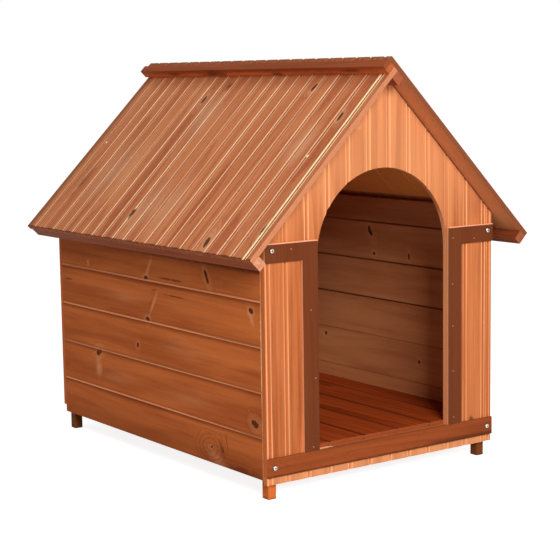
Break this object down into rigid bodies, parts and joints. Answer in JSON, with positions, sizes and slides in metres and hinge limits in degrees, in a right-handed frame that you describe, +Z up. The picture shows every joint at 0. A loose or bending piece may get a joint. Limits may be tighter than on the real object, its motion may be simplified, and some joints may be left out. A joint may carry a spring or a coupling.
{
  "type": "dog house",
  "caption": "Small gabled wooden dog house of tongue-and-groove boards on corner posts, with an arched doorway, a raised board floor and a lapped ridge.",
  "frame": {"origin": "on the ground, in the middle of the overall width and length", "axes": "+Z up, +Y from the doorway to the rear wall, +X to the right of someone who looks at the doorway"},
  "size_m": [0.6782, 0.866, 0.8059],
  "materials": {
    "roof_boards": "orange-brown stained softwood, satin",
    "wall_boards": "orange-brown stained softwood, satin",
    "gable_boards": "light orange stained softwood, satin",
    "floor_boards": "brown stained softwood, satin",
    "posts": "stained softwood, satin",
    "battens": "dark brown stained softwood, satin",
    "ridge_strip": "dark brown stained softwood, satin",
    "door_trims": "dark brown paint, satin",
    "low_trim": "reddish brown stained softwood, satin",
    "screws": "zinc plated"
  },
  "bodies": {
    "root": {"front_left_post": "posts", "front_right_post": "posts", "rear_left_post": "posts", "rear_right_post": "posts", "left_top_rail": "battens", "right_top_rail": "battens", "floor_bearers": "battens", "gable_battens": "battens", "floor_boards": "floor_boards", "front_board_1": "gable_boards", "front_board_2": "gable_boards", "front_board_3": "gable_boards", "front_board_4": "gable_boards", "front_board_5": "gable_boards", "front_board_6": "gable_boards", "sill_board_3": "gable_boards", "sill_board_4": "gable_boards", "rear_boards": "gable_boards", "left_wall_board_1": "wall_boards", "right_wall_board_1": "wall_boards", "left_wall_board_2": "wall_boards", "right_wall_board_2": "wall_boards", "left_wall_board_3": "wall_boards", "right_wall_board_3": "wall_boards", "left_wall_board_4": "wall_boards", "right_wall_board_4": "wall_boards", "left_wall_board_5": "wall_boards", "right_wall_board_5": "wall_boards", "left_wall_board_6": "wall_boards", "right_wall_board_6": "wall_boards", "ridge_beam": "battens", "left_eave_batten": "battens", "right_eave_batten": "battens", "left_roof_board_1": "roof_boards", "right_roof_board_1": "roof_boards", "left_roof_board_2": "roof_boards", "right_roof_board_2": "roof_boards", "left_roof_board_3": "roof_boards", "right_roof_board_3": "roof_boards", "left_roof_board_4": "roof_boards", "right_roof_board_4": "roof_boards", "left_roof_board_5": "roof_boards", "right_roof_board_5": "roof_boards", "left_roof_board_6": "roof_boards", "right_roof_board_6": "roof_boards", "left_roof_board_7": "roof_boards", "right_roof_board_7": "roof_boards", "left_roof_board_8": "roof_boards", "right_roof_board_8": "roof_boards", "left_roof_board_9": "roof_boards", "right_roof_board_9": "roof_boards", "left_roof_board_10": "roof_boards", "right_roof_board_10": "roof_boards", "left_roof_board_11": "roof_boards", "right_roof_board_11": "roof_boards", "ridge_strip": "ridge_strip", "low_trim": "low_trim", "left_door_trim": "door_trims", "right_door_trim": "door_trims", "panel_screws": "screws"}
  },
  "joints": []
}
